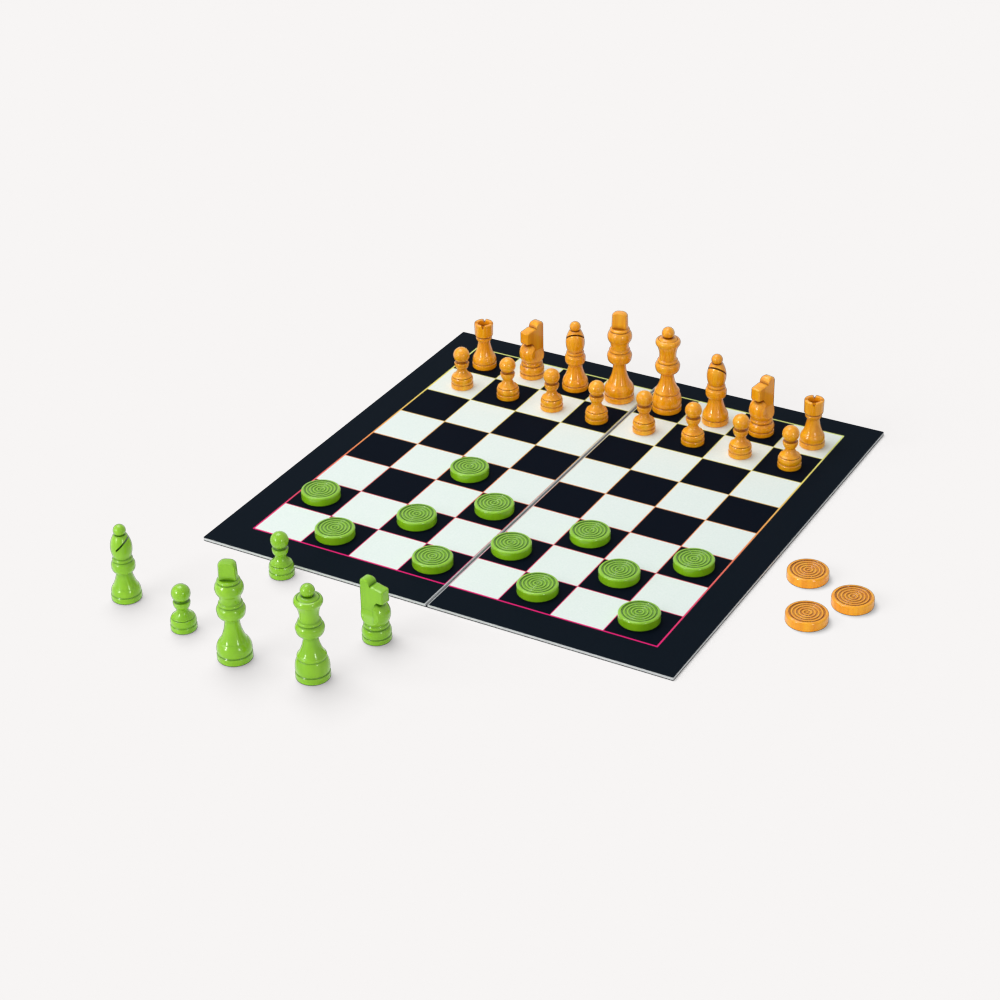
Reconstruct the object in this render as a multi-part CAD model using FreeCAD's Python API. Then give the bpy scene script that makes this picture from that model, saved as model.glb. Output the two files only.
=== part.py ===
import FreeCAD, Part
import math
import os

# A folding chess and checkers board with the loose pieces that stand on it and beside it.
# Millimetres. Origin: centre of the playing field, on the fold line, at the underside of the board.
# +X runs across the fold to the right leaf, +Y along the fold to the far edge, +Z up.

# Board
SQUARE = 34.0
SQUARES_PER_SIDE = 8
SIDE_BORDER = 21.0
NEAR_BORDER = 23.0
FAR_BORDER = 17.0
CORNER_RADIUS = 0.8
CORE_THICKNESS = 1.5
TOP_SHEET_THICKNESS = 0.2
BACK_PAPER_THICKNESS = 0.3
FOLD_GAP = 1.6
SHEET_SETBACK = 0.6

# Chessmen: height, diameter of the foot, height of the foot disc
KING_HEIGHT = 63.2
KING_BASE = 20.0
KING_FOOT = 4.6
KING_TAB_THICKNESS = 5.4
QUEEN_HEIGHT = 60.0
QUEEN_BASE = 19.4
QUEEN_FOOT = 4.4
BISHOP_HEIGHT = 49.0
BISHOP_BASE = 17.6
BISHOP_FOOT = 4.0
BISHOP_SLOT_WIDTH = 1.0
BISHOP_SLOT_SLOPE_DEG = 44.0
KNIGHT_HEIGHT = 39.0
KNIGHT_BASE = 16.8
KNIGHT_FOOT = 3.4
KNIGHT_CHEST_HEIGHT = 26.0
KNIGHT_HEAD_DIAMETER = 16.6
KNIGHT_HEAD_THICKNESS = 6.8
KNIGHT_HEAD_EDGE_DEPTH = 1.0
KNIGHT_CHEST_THICKNESS = 11.4
KNIGHT_NECK_THICKNESS = 6.0
KNIGHT_NECK_RUNOUT = 12.0
KNIGHT_CHEST_RUNOUT = 6.0
ROOK_HEIGHT = 32.8
ROOK_BASE = 16.4
ROOK_FOOT = 4.0
ROOK_NOTCH_WIDTH = 2.4
ROOK_NOTCH_DEPTH = 2.0
ROOK_NOTCH_CUTS = 2
PAWN_HEIGHT = 28.9
PAWN_BASE = 15.0
PAWN_FOOT = 3.6

# Checkers
CHECKER_DIAMETER = 24.5
CHECKER_HEIGHT = 5.8
CHECKER_LOWER_ROUND = 0.7
CHECKER_UPPER_ROUND = 1.1
CHECKER_RIM_WIDTH = 1.72
CHECKER_FIELD_RECESS = 0.25
CHECKER_KNOB_DIAMETER = 1.36
CHECKER_GROOVES = 5
CHECKER_RIDGE_WIDTH = 0.9
CHECKER_GROOVE_DEPTH = 0.6

# One overrun serves all cuts
OVERRUN = 1.0
FULL_TURN = 360.0
HALF_TURN = 180.0

# Turned outlines, from the middle of the underside up to the tip.
# Two numbers are a straight step to a point, four are an arc through a point to a point.
# An outline that ends off the axis is closed by a ball cap whose centre is on the axis.
# Radii are shares of the foot's radius. Foot heights are shares of the foot's height,
# and body heights are shares of what is above the foot.
FOOT_SHARES = [
    (0.91, 0.0),
    (0.975, 0.07, 1.0, 0.26),
    (1.0, 0.74),
    (0.985, 0.88, 0.945, 0.93),
    (0.925, 1.0),
]
KING_BODY_SHARES = [
    (0.97, 0.008),
    (0.965, 0.075, 0.80, 0.128),
    (0.75, 0.136),
    (0.50, 0.245, 0.405, 0.365),
    (0.43, 0.38),
    (0.705, 0.408, 0.785, 0.452),
    (0.80, 0.488, 0.70, 0.518),
    (0.64, 0.527),
    (0.68, 0.543, 0.63, 0.559),
    (0.59, 0.565),
    (0.58, 0.605, 0.645, 0.645),
    (0.80, 0.713, 0.67, 0.775),
    (0.61, 0.782),
    (0.645, 0.795, 0.595, 0.808),
    (0.535, 0.814),
    (0.505, 0.955),
    (0.445, 0.983, 0.31, 0.996),
]
KING_TAB_START_SHARE = 0.814
QUEEN_BODY_SHARES = [
    (0.97, 0.009),
    (0.985, 0.075, 0.86, 0.152),
    (0.815, 0.16),
    (0.85, 0.18, 0.785, 0.20),
    (0.755, 0.206),
    (0.52, 0.30, 0.41, 0.402),
    (0.435, 0.417),
    (0.73, 0.446, 0.81, 0.488),
    (0.825, 0.522, 0.725, 0.552),
    (0.655, 0.56),
    (0.685, 0.577, 0.625, 0.594),
    (0.575, 0.60),
    (0.575, 0.69, 0.735, 0.776),
    (0.83, 0.813, 0.755, 0.846),
    (0.665, 0.852),
    (0.64, 0.847),
    (0.51, 0.868, 0.31, 0.88),
]
BISHOP_BODY_SHARES = [
    (0.966, 0.009),
    (0.945, 0.056, 0.85, 0.10),
    (0.81, 0.107),
    (0.62, 0.203, 0.50, 0.30),
    (0.515, 0.314),
    (0.705, 0.345, 0.76, 0.402),
    (0.765, 0.44, 0.675, 0.474),
    (0.615, 0.484),
    (0.66, 0.505, 0.605, 0.526),
    (0.555, 0.534),
    (0.695, 0.70, 0.49, 0.838),
    (0.42, 0.86, 0.30, 0.868),
]
# The slot's plane on the axis, and how far the cut runs past the axis, as a share of the foot's radius
BISHOP_SLOT_HEIGHT_SHARE = 0.73
BISHOP_SLOT_REACH_SHARE = 0.25
ROOK_BODY_SHARES = [
    (0.965, 0.014),
    (0.955, 0.10, 0.84, 0.18),
    (0.80, 0.19),
    (0.60, 0.345, 0.475, 0.54),
    (0.49, 0.555),
    (0.645, 0.607, 0.59, 0.66),
    (0.56, 0.67),
    (0.665, 0.68, 0.735, 0.712),
    (0.758, 0.972),
    (0.745, 0.992, 0.70, 1.0),
    (0.53, 1.0),
    (0.485, 0.984),
    (0.47, 0.862),
    (0.0, 0.847),
]
PAWN_BODY_SHARES = [
    (0.947, 0.012),
    (0.985, 0.083, 0.92, 0.162),
    (0.845, 0.172),
    (0.875, 0.188, 0.82, 0.204),
    (0.56, 0.277, 0.413, 0.383),
    (0.425, 0.40),
    (0.57, 0.455, 0.635, 0.54),
    (0.65, 0.566, 0.61, 0.588),
    (0.495, 0.603),
    (0.44, 0.618),
]
# The knight's turned foot and chest
KNIGHT_CHEST_SHARES = [
    (0.965, 0.018),
    (0.995, 0.115, 0.91, 0.22),
    (0.805, 0.246),
    (0.865, 0.302, 0.805, 0.352),
    (0.785, 0.366),
    (0.995, 0.59, 0.79, 0.85),
]
# The side outline of the knight's neck and head, nose towards +X, from behind the neck over the head
KNIGHT_HEAD_SHARES = [
    (-1.1, 0.38),
    (-1.1, 0.905),
    (-0.90, 0.978, -0.62, 1.0),
    (-0.34, 0.988, -0.20, 0.945),
    (-0.15, 0.897),
    (0.04, 0.905, 0.25, 0.895),
    (0.84, 0.876),
    (0.91, 0.868, 0.93, 0.84),
    (0.93, 0.69),
    (0.912, 0.65, 0.84, 0.635),
    (0.42, 0.632),
    (0.27, 0.58),
    (0.27, 0.38),
]
# The middle of the head, about which its outline draws in towards both sides, and by how much
KNIGHT_HEAD_MIDDLE_SHARES = (0.0, 0.76)
KNIGHT_HEAD_EDGE_SHARE = 0.91
# Where the flats of the neck and of the chest start, and how far forward the neck's flats run
KNIGHT_NECK_START_SHARE = 0.20
KNIGHT_CHEST_START_SHARE = 0.22
KNIGHT_NECK_FRONT_SHARE = 0.34

# Places on the board: column and row of the square, then how far off its centre the piece stands,
# in shares of a square, and the way it faces in degrees from +X
BACK_ROW = SQUARES_PER_SIDE - 1
PAWN_ROW = SQUARES_PER_SIDE - 2
ORANGE_BACK_ROW_SHARES = [
    ("orange_rook_left", "rook", 0.03, -0.12, -66.0),
    ("orange_knight_left", "knight", 0.07, -0.03, -104.0),
    ("orange_bishop_left", "bishop", 0.08, -0.10, -62.0),
    ("orange_king", "king", 0.05, -0.10, -77.0),
    ("orange_queen", "queen", 0.07, -0.08, 0.0),
    ("orange_bishop_right", "bishop", 0.11, -0.10, -88.0),
    ("orange_knight_right", "knight", 0.06, -0.09, -104.0),
    ("orange_rook_right", "rook", 0.10, -0.08, -69.0),
]
ORANGE_PAWN_OFFSET_SHARES = [
    (0.07, -0.08),
    (0.09, -0.05),
    (0.07, -0.06),
    (0.07, -0.10),
    (0.06, -0.05),
    (0.08, -0.04),
    (0.06, -0.05),
    (0.05, -0.03),
]
GREEN_CHECKER_PLACE_SHARES = [
    (1, 0, -0.08, -0.02),
    (3, 0, -0.06, -0.03),
    (5, 0, -0.03, 0.05),
    (7, 0, -0.11, 0.07),
    (0, 1, -0.04, -0.01),
    (2, 1, -0.04, 0.06),
    (4, 1, -0.07, 0.0),
    (6, 1, 0.0, 0.09),
    (3, 2, 0.0, 0.04),
    (5, 2, -0.04, 0.0),
    (7, 2, -0.02, 0.0),
    (2, 3, -0.06, -0.02),
]
# Places beside the board: squares along X from the fold and free space to the board's near edge
GREEN_TABLE_SHARES = [
    ("green_bishop", "bishop", -4.69, 1.87, 29.0),
    ("green_pawn_1", "pawn", -3.26, 2.22, 0.0),
    ("green_king", "king", -2.00, 2.46, -67.0),
    ("green_pawn_2", "pawn", -2.75, 0.06, 0.0),
    ("green_queen", "queen", -0.57, 2.32, 0.0),
    ("green_knight", "knight", -0.24, 0.94, -6.0),
]
# Checkers beside the board: the first one's place along Y in squares, then for each one its free space
# to the board's right edge and its distance along Y from the first, in shares of a checker's diameter
ORANGE_TABLE_Y_SHARE = -0.83
ORANGE_TABLE_CHECKER_SHARES = [
    (0.47, 0.0),
    (1.845, -0.58),
    (1.165, -1.71),
]

# Worked out from the sizes above
FIELD_HALF = SQUARE * SQUARES_PER_SIDE / 2
BOARD_RIGHT = FIELD_HALF + SIDE_BORDER
BOARD_NEAR = -(FIELD_HALF + NEAR_BORDER)
BOARD_FAR = FIELD_HALF + FAR_BORDER
CORE_EDGE = FOLD_GAP / 2
SHEET_EDGE = CORE_EDGE + SHEET_SETBACK
CORE_BOTTOM = BACK_PAPER_THICKNESS
CORE_TOP = CORE_BOTTOM + CORE_THICKNESS
BOARD_TOP = CORE_TOP + TOP_SHEET_THICKNESS
Z_AXIS = FreeCAD.Vector(0, 0, 1)
ORIGIN = FreeCAD.Vector(0, 0, 0)


def save(shape, node):
    """Write one node's solid."""
    shape.exportStep(os.path.join("parts", node + ".step"))


def path_edges(points):
    """Edges through a list of points, where a pair (middle, end) is an arc."""
    edges = []
    here = points[0]
    for step in points[1:]:
        if isinstance(step, tuple):
            middle, there = step
            edges.append(Part.Arc(here, middle, there).toShape())
        else:
            there = step
            edges.append(Part.LineSegment(here, there).toShape())
        here = there
    edges.append(Part.LineSegment(here, points[0]).toShape())
    return edges


def outline_points(shares, across, start, rise):
    """Points of an outline in the XZ plane, from shares of a radius and of a height above a start."""
    points = []
    for step in shares:
        pairs = zip(step[0::2], step[1::2])
        ends = tuple(FreeCAD.Vector(r * across, 0, start + z * rise) for r, z in pairs)
        points.append(ends if len(ends) > 1 else ends[0])
    return points


def ball_cap(start, height):
    """The arc of a ball cap from a point to the tip, with the ball's centre on the axis."""
    centre = (height * height - start.z * start.z - start.x * start.x) / (height - start.z) / 2
    radius = height - centre
    middle = (math.atan2(start.z - centre, start.x) + math.pi / 2) / 2
    through = FreeCAD.Vector(radius * math.cos(middle), 0, centre + radius * math.sin(middle))
    return through, FreeCAD.Vector(0, 0, height)


def turned(body_shares, diameter, height, foot):
    """A turned piece: the foot that all chessmen share, and its own body."""
    radius = diameter / 2
    points = [ORIGIN]
    points += outline_points(FOOT_SHARES, radius, 0, foot)
    points += outline_points(body_shares, radius, foot, height - foot)
    last = points[-1][-1] if isinstance(points[-1], tuple) else points[-1]
    if last.x > 0:
        points.append(ball_cap(last, height))
    face = Part.Face(Part.Wire(path_edges(points)))
    return face.revolve(ORIGIN, Z_AXIS, FULL_TURN)


def prism(corners, bottom, top):
    """An upright prism over a list of plan corners."""
    points = [FreeCAD.Vector(x, y, bottom) for x, y in corners]
    face = Part.Face(Part.makePolygon(points + points[:1]))
    return face.extrude(FreeCAD.Vector(0, 0, top - bottom))


def make_king():
    """The king: a turned body whose tip is flattened front and back to a tab."""
    body = turned(KING_BODY_SHARES, KING_BASE, KING_HEIGHT, KING_FOOT)
    bottom = KING_FOOT + KING_TAB_START_SHARE * (KING_HEIGHT - KING_FOOT)
    top = KING_HEIGHT + OVERRUN
    outer = KING_BASE / 2
    for side in (1, -1):
        face = side * KING_TAB_THICKNESS / 2
        rim = side * outer
        body = body.cut(prism([(face, -outer), (rim, -outer), (rim, outer), (face, outer)], bottom, top))
    return body


def make_queen():
    """The queen: a turned body with a flared crown and a ball."""
    return turned(QUEEN_BODY_SHARES, QUEEN_BASE, QUEEN_HEIGHT, QUEEN_FOOT)


def make_bishop():
    """The bishop: a turned body with one slanting slot sawn into its mitre from +X."""
    body = turned(BISHOP_BODY_SHARES, BISHOP_BASE, BISHOP_HEIGHT, BISHOP_FOOT)
    radius = BISHOP_BASE / 2
    reach = BISHOP_SLOT_REACH_SHARE * radius
    slope = math.radians(BISHOP_SLOT_SLOPE_DEG)
    slot = Part.makeBox(reach + radius, BISHOP_BASE, BISHOP_SLOT_WIDTH)
    slot.translate(FreeCAD.Vector(-reach / math.cos(slope), -radius, -BISHOP_SLOT_WIDTH / 2))
    slot.rotate(ORIGIN, FreeCAD.Vector(0, -1, 0), BISHOP_SLOT_SLOPE_DEG)
    height = BISHOP_FOOT + BISHOP_SLOT_HEIGHT_SHARE * (BISHOP_HEIGHT - BISHOP_FOOT)
    slot.translate(FreeCAD.Vector(0, 0, height))
    return body.cut(slot)


def knight_head():
    """The sawn neck and head, a plate whose outline draws in a little towards both sides."""
    radius = KNIGHT_BASE / 2
    rise = KNIGHT_HEIGHT - KNIGHT_FOOT
    half = KNIGHT_HEAD_THICKNESS / 2
    inner = half - KNIGHT_HEAD_EDGE_DEPTH
    middle_x, middle_z = KNIGHT_HEAD_MIDDLE_SHARES
    drawn_in = []
    for step in KNIGHT_HEAD_SHARES:
        middles = (middle_x, middle_z) * (len(step) // 2)
        drawn_in.append(tuple(m + (v - m) * KNIGHT_HEAD_EDGE_SHARE for v, m in zip(step, middles)))

    def outline(shares, y):
        wire = Part.Wire(path_edges(outline_points(shares, radius, KNIGHT_FOOT, rise)))
        wire.translate(FreeCAD.Vector(0, y, 0))
        return wire

    head = Part.Face(outline(KNIGHT_HEAD_SHARES, -inner)).extrude(FreeCAD.Vector(0, inner * 2, 0))
    for side in (1, -1):
        wires = [outline(KNIGHT_HEAD_SHARES, side * inner), outline(drawn_in, side * half)]
        head = head.fuse(Part.makeLoft(wires, True, True))
    blank = Part.makeCylinder(KNIGHT_HEAD_DIAMETER / 2, KNIGHT_HEIGHT + OVERRUN)
    return head.common(blank)


def side_flat(side, thickness, start_share, runout, front):
    """What one side of the knight loses to leave a flat that runs out in a hollow at its foot."""
    reach = KNIGHT_BASE / 2 + OVERRUN
    half = thickness / 2
    low = KNIGHT_FOOT + start_share * (KNIGHT_HEIGHT - KNIGHT_FOOT)
    high = low + runout
    wide = half + runout
    bend = runout * math.sin(math.pi / 4)

    def at(y, z):
        return FreeCAD.Vector(-reach, side * y, z)

    points = [
        at(half, KNIGHT_HEIGHT),
        at(half, high),
        (at(wide - bend, high - bend), at(wide, low)),
        at(wide + reach, low),
        at(wide + reach, KNIGHT_HEIGHT),
    ]
    face = Part.Face(Part.Wire(path_edges(points)))
    return face.extrude(FreeCAD.Vector(reach + front, 0, 0))


def make_knight():
    """The knight: a turned chest with flats on both sides of it and of the neck, and a sawn head."""
    reach = KNIGHT_BASE / 2 + OVERRUN
    front = KNIGHT_NECK_FRONT_SHARE * KNIGHT_BASE / 2
    body = turned(KNIGHT_CHEST_SHARES, KNIGHT_BASE, KNIGHT_CHEST_HEIGHT, KNIGHT_FOOT)
    for side in (1, -1):
        for thickness, start_share, runout, end in (
            (KNIGHT_CHEST_THICKNESS, KNIGHT_CHEST_START_SHARE, KNIGHT_CHEST_RUNOUT, reach),
            (KNIGHT_NECK_THICKNESS, KNIGHT_NECK_START_SHARE, KNIGHT_NECK_RUNOUT, front),
        ):
            body = body.cut(side_flat(side, thickness, start_share, runout, end))
    return body.fuse(knight_head()).removeSplitter()


def make_rook():
    """The rook: a turned tower with a hollow crown and V notches across its rim."""
    body = turned(ROOK_BODY_SHARES, ROOK_BASE, ROOK_HEIGHT, ROOK_FOOT)
    half_width = ROOK_NOTCH_WIDTH / 2
    deep = ROOK_HEIGHT - ROOK_NOTCH_DEPTH
    corners = [(-half_width, ROOK_HEIGHT), (0, deep), (half_width, ROOK_HEIGHT)]
    points = [FreeCAD.Vector(-ROOK_BASE, y, z) for y, z in corners]
    face = Part.Face(Part.makePolygon(points + points[:1]))
    notch = face.extrude(FreeCAD.Vector(ROOK_BASE * 2, 0, 0))
    for cut in range(ROOK_NOTCH_CUTS):
        turn = notch.copy()
        turn.rotate(ORIGIN, Z_AXIS, cut * HALF_TURN / ROOK_NOTCH_CUTS)
        body = body.cut(turn)
    return body


def make_pawn():
    """The pawn: a ball over a collar and a ringed foot."""
    return turned(PAWN_BODY_SHARES, PAWN_BASE, PAWN_HEIGHT, PAWN_FOOT)


def make_checker():
    """A checker: a round disc with rounded rims and round-bottomed rings in its upper face."""
    radius = CHECKER_DIAMETER / 2
    upper = CHECKER_HEIGHT - CHECKER_UPPER_ROUND
    low_in = radius - CHECKER_LOWER_ROUND
    top_in = radius - CHECKER_UPPER_ROUND
    rim_in = radius - CHECKER_RIM_WIDTH
    field = CHECKER_HEIGHT - CHECKER_FIELD_RECESS
    room = rim_in - CHECKER_KNOB_DIAMETER / 2
    groove = (room - (CHECKER_GROOVES - 1) * CHECKER_RIDGE_WIDTH) / CHECKER_GROOVES
    lean = math.sin(math.pi / 4)

    def at(r, z):
        return FreeCAD.Vector(r, 0, z)

    low_bend = at(low_in + CHECKER_LOWER_ROUND * lean, CHECKER_LOWER_ROUND * (1 - lean))
    top_bend = at(top_in + CHECKER_UPPER_ROUND * lean, upper + CHECKER_UPPER_ROUND * lean)
    points = [
        ORIGIN,
        at(low_in, 0),
        (low_bend, at(radius, CHECKER_LOWER_ROUND)),
        at(radius, upper),
        (top_bend, at(top_in, CHECKER_HEIGHT)),
        at(rim_in, CHECKER_HEIGHT),
    ]
    for ring in range(CHECKER_GROOVES):
        outside = rim_in - ring * (groove + CHECKER_RIDGE_WIDTH)
        floor = at(outside - groove / 2, field - CHECKER_GROOVE_DEPTH)
        points.append(at(outside, field))
        points.append((floor, at(outside - groove, field)))
    points.append(at(0, field))
    face = Part.Face(Part.Wire(path_edges(points)))
    return face.revolve(ORIGIN, Z_AXIS, FULL_TURN)


def leaf_plate(side, inner, bottom, thickness):
    """One flat layer of a leaf. Side is 1 for the right leaf and -1 for the left one."""
    reach = side * BOARD_RIGHT
    edge = side * inner
    bend = side * CORNER_RADIUS
    lean = 1 - math.sin(math.pi / 4)

    def at(x, y):
        return FreeCAD.Vector(x, y, bottom)

    points = [
        at(edge, BOARD_NEAR),
        at(reach - bend, BOARD_NEAR),
        (at(reach - bend * lean, BOARD_NEAR + CORNER_RADIUS * lean), at(reach, BOARD_NEAR + CORNER_RADIUS)),
        at(reach, BOARD_FAR - CORNER_RADIUS),
        (at(reach - bend * lean, BOARD_FAR - CORNER_RADIUS * lean), at(reach - bend, BOARD_FAR)),
        at(edge, BOARD_FAR),
    ]
    face = Part.Face(Part.Wire(path_edges(points)))
    return face.extrude(FreeCAD.Vector(0, 0, thickness))


def make_board():
    """Both leaves, layer by layer, and the strip that hinges them at the underside."""
    for name, side in (("left", -1), ("right", 1)):
        save(leaf_plate(side, CORE_EDGE, 0, BACK_PAPER_THICKNESS), name + "_back_paper")
        save(leaf_plate(side, CORE_EDGE, CORE_BOTTOM, CORE_THICKNESS), name + "_core")
        save(leaf_plate(side, SHEET_EDGE, CORE_TOP, TOP_SHEET_THICKNESS), name + "_top_sheet")
    strip = Part.makeBox(FOLD_GAP, BOARD_FAR - BOARD_NEAR, BACK_PAPER_THICKNESS)
    strip.translate(FreeCAD.Vector(-CORE_EDGE, BOARD_NEAR, 0))
    save(strip, "hinge_strip")


def stand(pattern, node, x, y, z, facing):
    """Stand a copy of a piece at a place, turned to face a way, and write it."""
    piece = pattern.copy()
    piece.rotate(ORIGIN, Z_AXIS, facing)
    piece.translate(FreeCAD.Vector(x, y, z))
    save(piece, node)


def square_centre(column, row, dx_share, dy_share):
    """A place on a square of the board."""
    x = (column + dx_share) * SQUARE + SQUARE / 2 - FIELD_HALF
    y = (row + dy_share) * SQUARE + SQUARE / 2 - FIELD_HALF
    return x, y


def make_pieces():
    """All loose pieces, on the board and beside it."""
    patterns = {
        "king": make_king(),
        "queen": make_queen(),
        "bishop": make_bishop(),
        "knight": make_knight(),
        "rook": make_rook(),
        "pawn": make_pawn(),
    }
    bases = {
        "king": KING_BASE,
        "queen": QUEEN_BASE,
        "bishop": BISHOP_BASE,
        "knight": KNIGHT_BASE,
        "rook": ROOK_BASE,
        "pawn": PAWN_BASE,
    }
    for column, (node, kind, dx_share, dy_share, facing) in enumerate(ORANGE_BACK_ROW_SHARES):
        x, y = square_centre(column, BACK_ROW, dx_share, dy_share)
        stand(patterns[kind], node, x, y, BOARD_TOP, facing)
    for column, (dx_share, dy_share) in enumerate(ORANGE_PAWN_OFFSET_SHARES):
        x, y = square_centre(column, PAWN_ROW, dx_share, dy_share)
        stand(patterns["pawn"], "orange_pawn_%d" % (column + 1), x, y, BOARD_TOP, 0)
    for node, kind, x_share, gap_share, facing in GREEN_TABLE_SHARES:
        y = BOARD_NEAR - gap_share * SQUARE - bases[kind] / 2
        stand(patterns[kind], node, x_share * SQUARE, y, 0, facing)
    checker = make_checker()
    for number, (column, row, dx_share, dy_share) in enumerate(GREEN_CHECKER_PLACE_SHARES):
        x, y = square_centre(column, row, dx_share, dy_share)
        stand(checker, "green_checker_%02d" % (number + 1), x, y, BOARD_TOP, 0)
    for number, (gap_share, y_share) in enumerate(ORANGE_TABLE_CHECKER_SHARES):
        x = BOARD_RIGHT + gap_share * CHECKER_DIAMETER + CHECKER_DIAMETER / 2
        y = ORANGE_TABLE_Y_SHARE * SQUARE + y_share * CHECKER_DIAMETER
        stand(checker, "orange_checker_%d" % (number + 1), x, y, 0, 0)


os.makedirs("parts", exist_ok=True)
make_board()
make_pieces()
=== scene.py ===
from math import radians

import bpy
from mathutils import Euler, Matrix, Vector

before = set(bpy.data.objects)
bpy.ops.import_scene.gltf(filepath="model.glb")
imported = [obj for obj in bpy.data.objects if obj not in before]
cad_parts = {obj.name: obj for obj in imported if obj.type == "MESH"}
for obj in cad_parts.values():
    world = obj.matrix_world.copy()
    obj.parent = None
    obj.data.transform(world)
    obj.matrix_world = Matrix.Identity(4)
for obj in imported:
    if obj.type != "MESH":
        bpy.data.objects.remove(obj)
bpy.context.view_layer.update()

# Print on the board, in metres: half of the squared field, widths of its lines,
# and how far from the middle of the fold the line beside it reaches
SQUARE = 0.034
FIELD = 4 * SQUARE
GRID_LINE = 0.0005
OUTLINE = 0.0010
FOLD_LINE = 0.0016

# Relief that is too fine for the mesh, in metres
PAPER_RELIEF = 0.0001
LACQUER_RELIEF = 0.0002

# Painted shade in the grooves of the turned wood: how far it reaches in metres, and how open the
# surface is where it is full and where it ends
GROOVE_SHADE_REACH = 0.0032
GROOVE_SHADE_SAMPLES = 6
GROOVE_SHADE_FULL = 0.5
GROOVE_SHADE_NONE = 0.92

# Colours as screen values from 0 to 255, a mottle from its dark end to its pale one
WHITE = (255, 255, 255)
PALE_SQUARE = ((228, 240, 235), (237, 246, 242))
DARK_SQUARE = ((7, 13, 23), (11, 18, 29))
BORDER = ((12, 20, 28), (17, 25, 34))
CORE_LAYERS = ((186, 190, 193), (222, 225, 226))
CORE_FLECKS = ((214, 212, 208), WHITE)
BACK_CLOUD = ((15, 20, 28), (23, 29, 38))
GREEN_CLOUD = ((129, 188, 18), (141, 199, 26))
# The next colour is painted shade, the dark tint put into the grooves of the green pieces
GREEN_GROOVE_SHADE = (38, 88, 8)
ORANGE_RINGS = ((236, 148, 6), (252, 170, 12), (255, 188, 30))
ORANGE_PORES = ((226, 190, 150), WHITE)
# The next colour is painted shade, the dark tint put into the grooves of the orange pieces
ORANGE_GROOVE_SHADE = (120, 44, 4)
FLOOR_CLOUD = ((244, 242, 241), (249, 247, 246))
SURROUND = (247, 245, 244)

# Colours of the printed lines by their share of the way from the near edge to the far one
LINE_COLOURS = {
    0.0: (232, 40, 122),
    0.2: (236, 84, 112),
    0.38: (243, 132, 96),
    0.55: (247, 176, 96),
    0.75: (240, 224, 120),
    1.0: (220, 234, 142),
}

# Floor in metres, and the strength of the surround
FLOOR_HALF = 12.0
FLOOR_DROP = 0.0001
SURROUND_SEEN = 1.0
SURROUND_LIGHT = 0.29

# Camera fitted to the corners of the squares: film in millimetres, places in metres, turns in degrees
SENSOR_WIDTH = 36.0
FOCAL_LENGTH = 83.66
CLIP_NEAR = 0.05
CLIP_FAR = 50.0
CAMERA_PLACE = (0.59741, -1.10589, 0.73214)
CAMERA_TILT = 59.3897
CAMERA_LEAN = 1.01665
CAMERA_HEADING = 29.42088

# Sockets of the colour mix node, whose names occur more than once
MIX_FIRST = 6
MIX_SECOND = 7
MIX_RESULT = 2


def srgb(red, green, blue):
    """A colour given as screen values from 0 to 255, in linear light."""
    def linear(value):
        share = value / 255
        return share / 12.92 if share <= 0.04045 else ((share + 0.055) / 1.055) ** 2.4
    return linear(red), linear(green), linear(blue), 1.0


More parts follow.
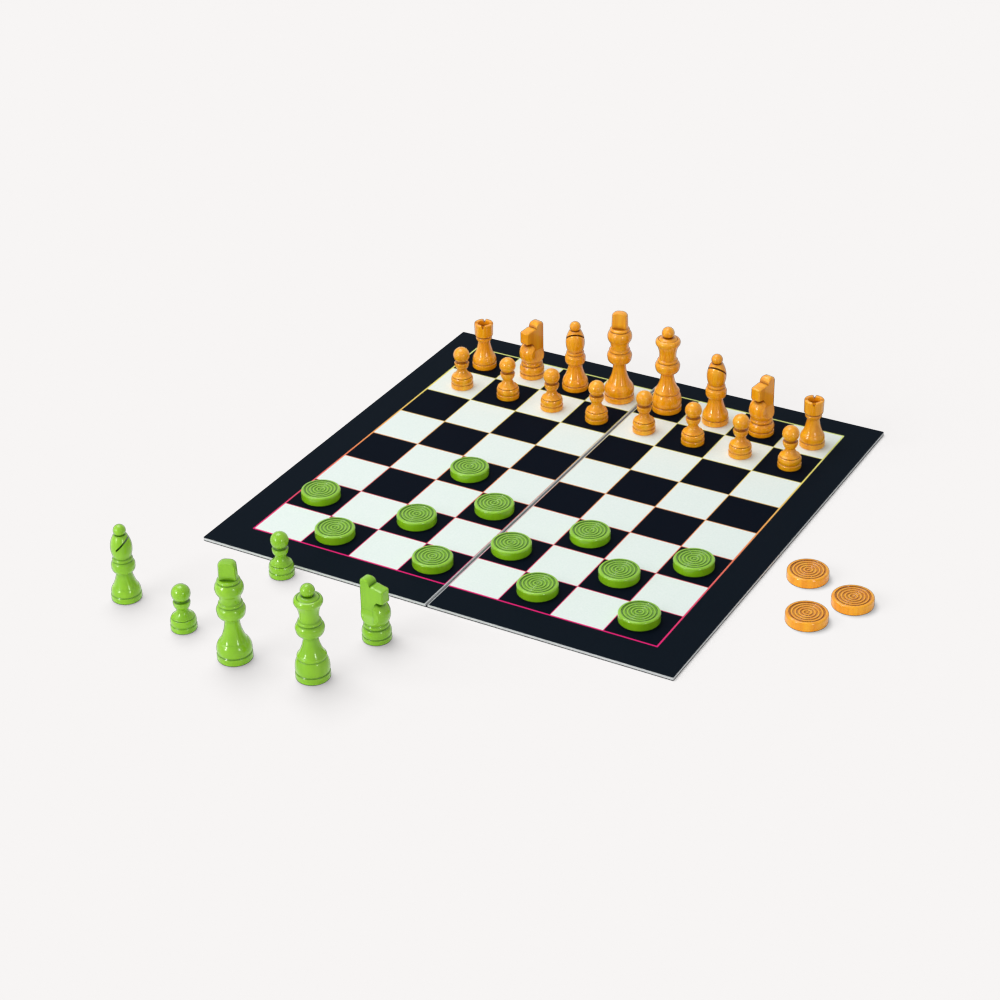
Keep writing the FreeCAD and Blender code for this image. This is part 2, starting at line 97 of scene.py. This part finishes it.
class Paint:
    """A new material and short ways of adding its nodes."""

    def __init__(self, name):
        self.material = bpy.data.materials.new(name)
        self.material.use_nodes = True
        self.tree = self.material.node_tree
        self.tree.nodes.clear()
        self.out = self.tree.nodes.new("ShaderNodeOutputMaterial")
        self.place = self.add("ShaderNodeTexCoord").outputs["Object"]

    def add(self, kind, inputs=None, **settings):
        """A node with its settings, and with a value or a link for each named input."""
        node = self.tree.nodes.new(kind)
        for key, value in settings.items():
            setattr(node, key, value)
        for key, value in (inputs or {}).items():
            self.give(node.inputs[key], value)
        return node

    def give(self, socket, value):
        if isinstance(value, bpy.types.NodeSocket):
            self.tree.links.new(value, socket)
        else:
            socket.default_value = value

    def math(self, operation, first, second=0.0):
        return self.add("ShaderNodeMath", {0: first, 1: second}, operation=operation).outputs[0]

    def mix(self, share, first, second, blend="MIX"):
        inputs = {"Factor": share, MIX_FIRST: first, MIX_SECOND: second}
        node = self.add("ShaderNodeMix", inputs, data_type="RGBA", blend_type=blend)
        return node.outputs[MIX_RESULT]

    def shade(self, colour, pattern, strength):
        """Multiplies a pattern into a colour, as strongly as said."""
        return self.mix(strength, colour, pattern, "MULTIPLY")

    def ramp(self, share, stops):
        """Runs through colours that are given by their positions from 0 to 1."""
        node = self.add("ShaderNodeValToRGB", {"Fac": share})
        elements = node.color_ramp.elements
        for position in list(stops)[len(elements):]:
            elements.new(position)
        for element, (position, colour) in zip(elements, stops.items()):
            element.position = position
            element.color = srgb(*colour)
        return node.outputs["Color"]

    def blend(self, share, colours, start=0.3, stop=0.7):
        """Runs through colours in even steps between two positions."""
        step = (stop - start) / (len(colours) - 1)
        return self.ramp(share, {start + step * turn: tone for turn, tone in enumerate(colours)})

    def stretch(self, across, up):
        inputs = {"Vector": self.place, "Scale": (across, across, up)}
        return self.add("ShaderNodeMapping", inputs).outputs["Vector"]

    def noise(self, across, up=None, detail=3.0, roughness=0.5, distortion=0.0):
        """Noise of so many waves in a metre, across the piece and up it."""
        inputs = {
            "Vector": self.stretch(across, up or across),
            "Scale": 1.0,
            "Detail": detail,
            "Roughness": roughness,
            "Distortion": distortion,
        }
        return self.add("ShaderNodeTexNoise", inputs).outputs["Fac"]

    def cells(self, across):
        """Small cells, so many in a metre."""
        inputs = {"Vector": self.stretch(across, across), "Scale": 1.0}
        return self.add("ShaderNodeTexVoronoi", inputs).outputs["Distance"]

    def span(self, value, low, high, start=0.0, stop=1.0):
        """Takes a value between start and stop to one between low and high."""
        inputs = {
            "Value": value,
            "From Min": start,
            "From Max": stop,
            "To Min": low,
            "To Max": high,
        }
        return self.add("ShaderNodeMapRange", inputs).outputs["Result"]

    def painted_groove_shade(self, colour, tint):
        """Paints shade: takes a colour to a dark tint where the surface closes in on itself."""
        inputs = {"Distance": GROOVE_SHADE_REACH}
        settings = {"samples": GROOVE_SHADE_SAMPLES, "only_local": True}
        # ambient occlusion sets where the painted shade falls
        opening = self.add("ShaderNodeAmbientOcclusion", inputs, **settings).outputs["AO"]
        share = self.span(opening, low=1.0, high=0.0, start=GROOVE_SHADE_FULL, stop=GROOVE_SHADE_NONE)
        return self.mix(share, colour, srgb(*tint))

    def bump(self, height, strength, distance):
        inputs = {"Height": height, "Strength": strength, "Distance": distance}
        return self.add("ShaderNodeBump", inputs).outputs["Normal"]

    def surface(self, **inputs):
        """The finished material, its inputs named as on the shader with _ for a space."""
        named = {key.replace("_", " "): value for key, value in inputs.items()}
        shader = self.add("ShaderNodeBsdfPrincipled", named)
        self.tree.links.new(shader.outputs[0], self.out.inputs["Surface"])
        return self.material


def printed_lines(paint, x, column, row, far_out, inside):
    """Where the thin lines are: the grid, both sides of the fold and the outline of the field."""
    def off_line(count):
        return paint.math("ABSOLUTE", paint.math("SUBTRACT", count, paint.math("ROUND", count)))

    nearest = paint.math("MINIMUM", off_line(column), off_line(row))
    grid = paint.math("LESS_THAN", nearest, GRID_LINE / 2 / SQUARE)
    beside_fold = paint.math("LESS_THAN", paint.math("ABSOLUTE", x), FOLD_LINE)
    grid = paint.math("MAXIMUM", grid, beside_fold)
    grid = paint.math("MULTIPLY", grid, inside)
    from_edge = paint.math("ABSOLUTE", paint.math("SUBTRACT", far_out, FIELD))
    outline = paint.math("LESS_THAN", from_edge, OUTLINE / 2)
    return paint.math("MAXIMUM", grid, outline)


def printed_sheet():
    """Dark border, dark and pale squares, and thin lines whose colour runs from pink to lime."""
    paint = Paint("printed_sheet")
    split = paint.add("ShaderNodeSeparateXYZ", {0: paint.place})
    x, y = split.outputs["X"], split.outputs["Y"]
    column = paint.math("DIVIDE", x, SQUARE)
    row = paint.math("DIVIDE", y, SQUARE)
    steps = paint.math("ADD", paint.math("FLOOR", column), paint.math("FLOOR", row))
    dark = paint.math("FLOORED_MODULO", steps, 2.0)
    far_out = paint.math("MAXIMUM", paint.math("ABSOLUTE", x), paint.math("ABSOLUTE", y))
    inside = paint.math("LESS_THAN", far_out, FIELD)
    lines = printed_lines(paint, x, column, row, far_out, inside)

    mottle = paint.noise(across=900, detail=4, roughness=0.6)
    fibre = paint.noise(across=2600, detail=3, roughness=0.55)
    along = paint.math("DIVIDE", paint.math("ADD", y, FIELD), 2 * FIELD)
    line = paint.ramp(paint.span(along, low=0.0, high=1.0), LINE_COLOURS)
    squares = paint.mix(dark, paint.blend(mottle, PALE_SQUARE), paint.blend(mottle, DARK_SQUARE))
    colour = paint.mix(inside, paint.blend(mottle, BORDER), squares)
    return paint.surface(
        Base_Color=paint.mix(lines, colour, line),
        Roughness=paint.span(mottle, low=0.5, high=0.62),
        Specular_IOR_Level=0.01,
        Normal=paint.bump(fibre, strength=0.12, distance=PAPER_RELIEF),
    )


def core_board():
    """Light grey pressed board, its fibres lying flat."""
    paint = Paint("core_board")
    layers = paint.noise(across=260, up=3200, detail=5, roughness=0.65)
    flecks = paint.noise(across=1500, up=5200, detail=3, roughness=0.7)
    colour = paint.blend(layers, CORE_LAYERS, start=0.25, stop=0.75)
    specks = paint.blend(flecks, CORE_FLECKS, start=0.3, stop=0.62)
    return paint.surface(
        Base_Color=paint.shade(colour, specks, strength=0.6),
        Roughness=paint.span(flecks, low=0.8, high=0.95),
        Specular_IOR_Level=0.2,
        Normal=paint.bump(flecks, strength=0.3, distance=PAPER_RELIEF),
    )


def back_paper():
    """Dark paper with a fine leathery press."""
    paint = Paint("back_paper")
    cloud = paint.noise(across=60, detail=4, roughness=0.6)
    return paint.surface(
        Base_Color=paint.blend(cloud, BACK_CLOUD),
        Roughness=paint.span(cloud, low=0.55, high=0.7),
        Specular_IOR_Level=0.2,
        Normal=paint.bump(paint.cells(across=1100), strength=0.25, distance=PAPER_RELIEF),
    )


def lacquered(paint, colour, roughness, coat, height):
    """A colour under gloss, with the slight relief of what lies beneath."""
    return paint.surface(
        Base_Color=colour,
        Roughness=roughness,
        Specular_IOR_Level=0.12,
        Coat_Weight=coat,
        Coat_Roughness=0.12,
        Normal=paint.bump(height, strength=0.03, distance=LACQUER_RELIEF),
    )


def green_lacquer():
    """Bright green paint, thick and glossy, over turned wood, with painted shade in its grooves."""
    paint = Paint("green_lacquer")
    cloud = paint.noise(across=140, up=60, detail=3, roughness=0.5)
    peel = paint.noise(across=700, detail=2, roughness=0.4)
    # the grooves get painted shade
    colour = paint.painted_groove_shade(paint.blend(cloud, GREEN_CLOUD), GREEN_GROOVE_SHADE)
    roughness = paint.span(cloud, low=0.3, high=0.38)
    return lacquered(paint, colour, roughness, coat=0.8, height=peel)


def orange_stain():
    """Orange stain under gloss, with the grain of the wood running up each piece and painted shade in
    its grooves.
    """
    paint = Paint("orange_stain")
    rings = paint.noise(across=240, up=14, detail=5, roughness=0.6, distortion=0.6)
    pores = paint.noise(across=1500, up=70, detail=3, roughness=0.6)
    colour = paint.blend(rings, ORANGE_RINGS, start=0.28, stop=0.72)
    streaks = paint.blend(pores, ORANGE_PORES, start=0.34, stop=0.52)
    # the grooves get painted shade
    colour = paint.painted_groove_shade(paint.shade(colour, streaks, strength=0.22), ORANGE_GROOVE_SHADE)
    roughness = paint.span(rings, low=0.32, high=0.4)
    return lacquered(paint, colour, roughness, coat=0.75, height=pores)


def dress():
    """Gives every node of the frame its material."""
    print_face, core, back = printed_sheet(), core_board(), back_paper()
    green, orange = green_lacquer(), orange_stain()
    for name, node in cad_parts.items():
        if name.startswith("green"):
            material = green
        elif name.startswith("orange"):
            material = orange
        elif name.endswith("top_sheet"):
            material = print_face
        elif name.endswith("core"):
            material = core
        else:
            material = back
        if not node.material_slots:
            node.data.materials.append(material)
        for slot in node.material_slots:
            slot.material = material


def link(thing):
    bpy.context.scene.collection.objects.link(thing)
    return thing


def floor():
    """A wide pale floor just under the object, which takes the soft shadows."""
    mesh = bpy.data.meshes.new("floor")
    sides = ((-1, -1), (1, -1), (1, 1), (-1, 1))
    corners = [(x * FLOOR_HALF, y * FLOOR_HALF, -FLOOR_DROP) for x, y in sides]
    mesh.from_pydata(corners, [], [(0, 1, 2, 3)])
    ground = link(bpy.data.objects.new("floor", mesh))
    ground.is_shadow_catcher = True
    paint = Paint("pale_floor")
    paint.surface(
        Base_Color=paint.blend(paint.noise(across=3), FLOOR_CLOUD),
        Roughness=0.9,
        Specular_IOR_Level=0.1,
    )
    mesh.materials.append(paint.material)


def lamp(name, place, size, power, shadow=True):
    """A lamp aimed at the origin, its place and size in metres and its power in watts."""
    light = bpy.data.lights.new(name, "AREA")
    light.use_shadow = shadow
    light.shape = "RECTANGLE"
    light.size, light.size_y = size
    light.energy = power
    thing = link(bpy.data.objects.new(name, light))
    thing.location = place
    thing.rotation_mode = "QUATERNION"
    thing.rotation_quaternion = (-Vector(place)).to_track_quat("-Z", "Y")


def lamps():
    """A broad light from above and one in front, and two small windows for the gloss."""
    lamp("key", place=(-0.6, 0.15, 1.75), size=(1.2, 1.2), power=20.0)
    lamp("front", place=(-1.0, -1.3, 0.9), size=(1.4, 1.0), power=7.0)
    lamp("window_left", place=(-0.5, -1.2, 0.42), size=(0.11, 0.42), power=4.8, shadow=False)
    lamp("window_right", place=(1.1, -0.7, 0.42), size=(0.08, 0.34), power=2.5, shadow=False)


def surround():
    """Pale where it is seen, mirrored or looked through to, and a weak white light elsewhere."""
    world = bpy.data.worlds.new("surround")
    bpy.context.scene.world = world
    world.use_nodes = True
    tree = world.node_tree
    tree.nodes.clear()

    def background(colour, strength):
        node = tree.nodes.new("ShaderNodeBackground")
        node.inputs["Color"].default_value = srgb(*colour)
        node.inputs["Strength"].default_value = strength
        return node.outputs[0]

    path = tree.nodes.new("ShaderNodeLightPath")
    share = path.outputs["Is Camera Ray"]
    for kind in ("Is Glossy Ray", "Is Transmission Ray"):
        either = tree.nodes.new("ShaderNodeMath")
        either.operation = "MAXIMUM"
        tree.links.new(share, either.inputs[0])
        tree.links.new(path.outputs[kind], either.inputs[1])
        share = either.outputs[0]
    choice = tree.nodes.new("ShaderNodeMixShader")
    tree.links.new(share, choice.inputs[0])
    tree.links.new(background(WHITE, SURROUND_LIGHT), choice.inputs[1])
    tree.links.new(background(SURROUND, SURROUND_SEEN), choice.inputs[2])
    out = tree.nodes.new("ShaderNodeOutputWorld")
    tree.links.new(choice.outputs[0], out.inputs["Surface"])


def camera():
    """The camera where the photograph was taken."""
    lens = bpy.data.cameras.new("camera")
    lens.sensor_width = SENSOR_WIDTH
    lens.lens = FOCAL_LENGTH
    lens.clip_start, lens.clip_end = CLIP_NEAR, CLIP_FAR
    turns = Euler([radians(turn) for turn in (CAMERA_TILT, CAMERA_LEAN, CAMERA_HEADING)])
    eye = link(bpy.data.objects.new("camera", lens))
    eye.matrix_world = Matrix.Translation(CAMERA_PLACE) @ turns.to_matrix().to_4x4()
    bpy.context.scene.camera = eye


dress()
floor()
lamps()
surround()
camera()
bpy.context.scene.view_settings.view_transform = "Standard"
